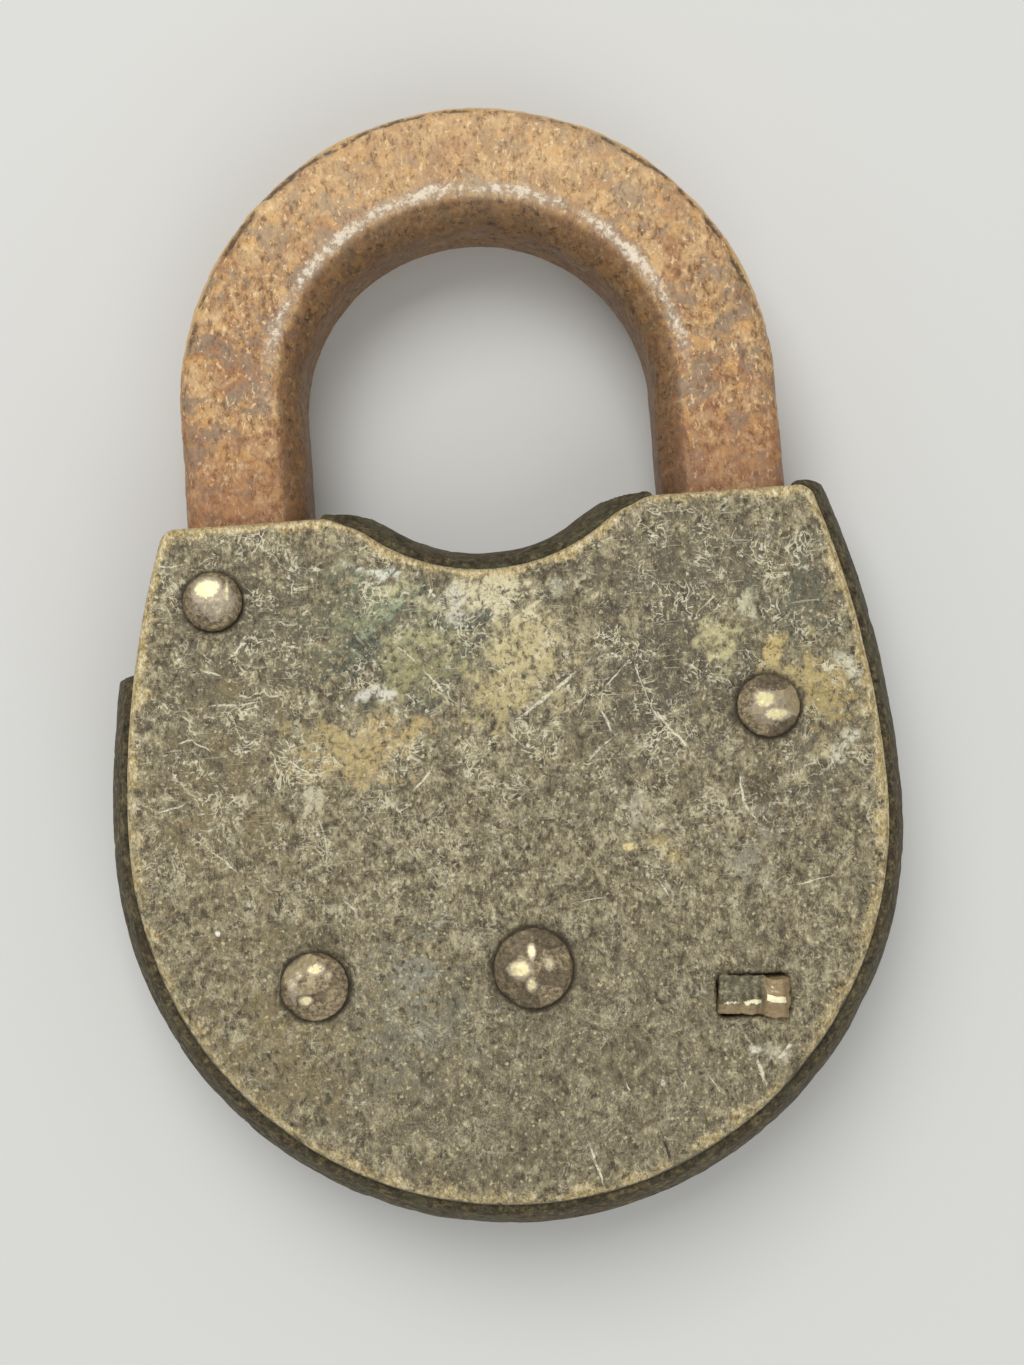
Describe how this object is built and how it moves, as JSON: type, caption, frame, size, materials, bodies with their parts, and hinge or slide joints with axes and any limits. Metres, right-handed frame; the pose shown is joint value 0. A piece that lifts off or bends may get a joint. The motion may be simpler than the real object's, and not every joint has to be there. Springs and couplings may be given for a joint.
{
  "type": "lever padlock",
  "caption": "Old heart-shaped lever padlock with a swinging steel shackle, bulging cast brass case, riveted brass back plate, worn, patinated and rusty.",
  "frame": {"origin": "centre of the body's round lower edge, on the flat front face that the lock lies on", "axes": "+X to the right seen from the back plate, +Y towards the shackle, +Z out of the back plate"},
  "size_m": [0.0762, 0.1077, 0.0183],
  "materials": {
    "case_brass": "cast, dark brown patina",
    "plate_brass": "scratched sheet, olive-brown patina",
    "rusty_steel": "rusted, worn satin on the edges",
    "rivet_brass": "hammered, rubbed bright on top",
    "rest_steel": "dull, filed end",
    "works_steel": "dull, oily",
    "spring_bronze": "plain strip"
  },
  "bodies": {
    "lock_body": {"case": "case_brass", "back_plate": "plate_brass", "shackle_pivot": "rivet_brass", "stop_post": "rivet_brass", "lever_post": "rivet_brass", "key_pin": "rivet_brass", "lever_rest": "rest_steel"},
    "swing_shackle": {"shackle": "rusty_steel"},
    "lock_bolt": {"bolt": "works_steel"},
    "lever_body_1": {"lever_1": "works_steel", "lever_spring_1": "spring_bronze"},
    "lever_body_2": {"lever_2": "works_steel", "lever_spring_2": "spring_bronze"},
    "lever_body_3": {"lever_3": "works_steel", "lever_spring_3": "spring_bronze"},
    "lever_body_4": {"lever_4": "works_steel", "lever_spring_4": "spring_bronze"},
    "lever_body_5": {"lever_5": "works_steel", "lever_spring_5": "spring_bronze"},
    "lever_body_6": {"lever_6": "works_steel", "lever_spring_6": "spring_bronze"}
  },
  "joints": [
    {"name": "shackle_swing", "type": "hinge", "parent": "lock_body", "child": "swing_shackle", "pos_m": [-0.0262, 0.0222, 0.0085], "axis": [0, 0, 1], "range_deg": [0, 100]},
    {"name": "bolt_throw", "type": "slide", "parent": "lock_body", "child": "lock_bolt", "axis": [1, 0, 0], "range_m": [0, 0.0046]},
    {"name": "lever_1_drop", "type": "hinge", "parent": "lock_body", "child": "lever_body_1", "pos_m": [-0.01899, -0.0141, 0.0085], "axis": [0, 0, 1], "range_deg": [-1.9, 0], "deforming": ["lever_spring_1"]},
    {"name": "lever_2_drop", "type": "hinge", "parent": "lock_body", "child": "lever_body_2", "pos_m": [-0.01899, -0.0141, 0.0085], "axis": [0, 0, 1], "range_deg": [-2.8, 0], "deforming": ["lever_spring_2"]},
    {"name": "lever_3_drop", "type": "hinge", "parent": "lock_body", "child": "lever_body_3", "pos_m": [-0.01899, -0.0141, 0.0085], "axis": [0, 0, 1], "range_deg": [-2.2, 0], "deforming": ["lever_spring_3"]},
    {"name": "lever_4_drop", "type": "hinge", "parent": "lock_body", "child": "lever_body_4", "pos_m": [-0.01899, -0.0141, 0.0085], "axis": [0, 0, 1], "range_deg": [-3.2, 0], "deforming": ["lever_spring_4"]},
    {"name": "lever_5_drop", "type": "hinge", "parent": "lock_body", "child": "lever_body_5", "pos_m": [-0.01899, -0.0141, 0.0085], "axis": [0, 0, 1], "range_deg": [-2.5, 0], "deforming": ["lever_spring_5"]},
    {"name": "lever_6_drop", "type": "hinge", "parent": "lock_body", "child": "lever_body_6", "pos_m": [-0.01899, -0.0141, 0.0085], "axis": [0, 0, 1], "range_deg": [-1.7, 0], "deforming": ["lever_spring_6"]}
  ]
}
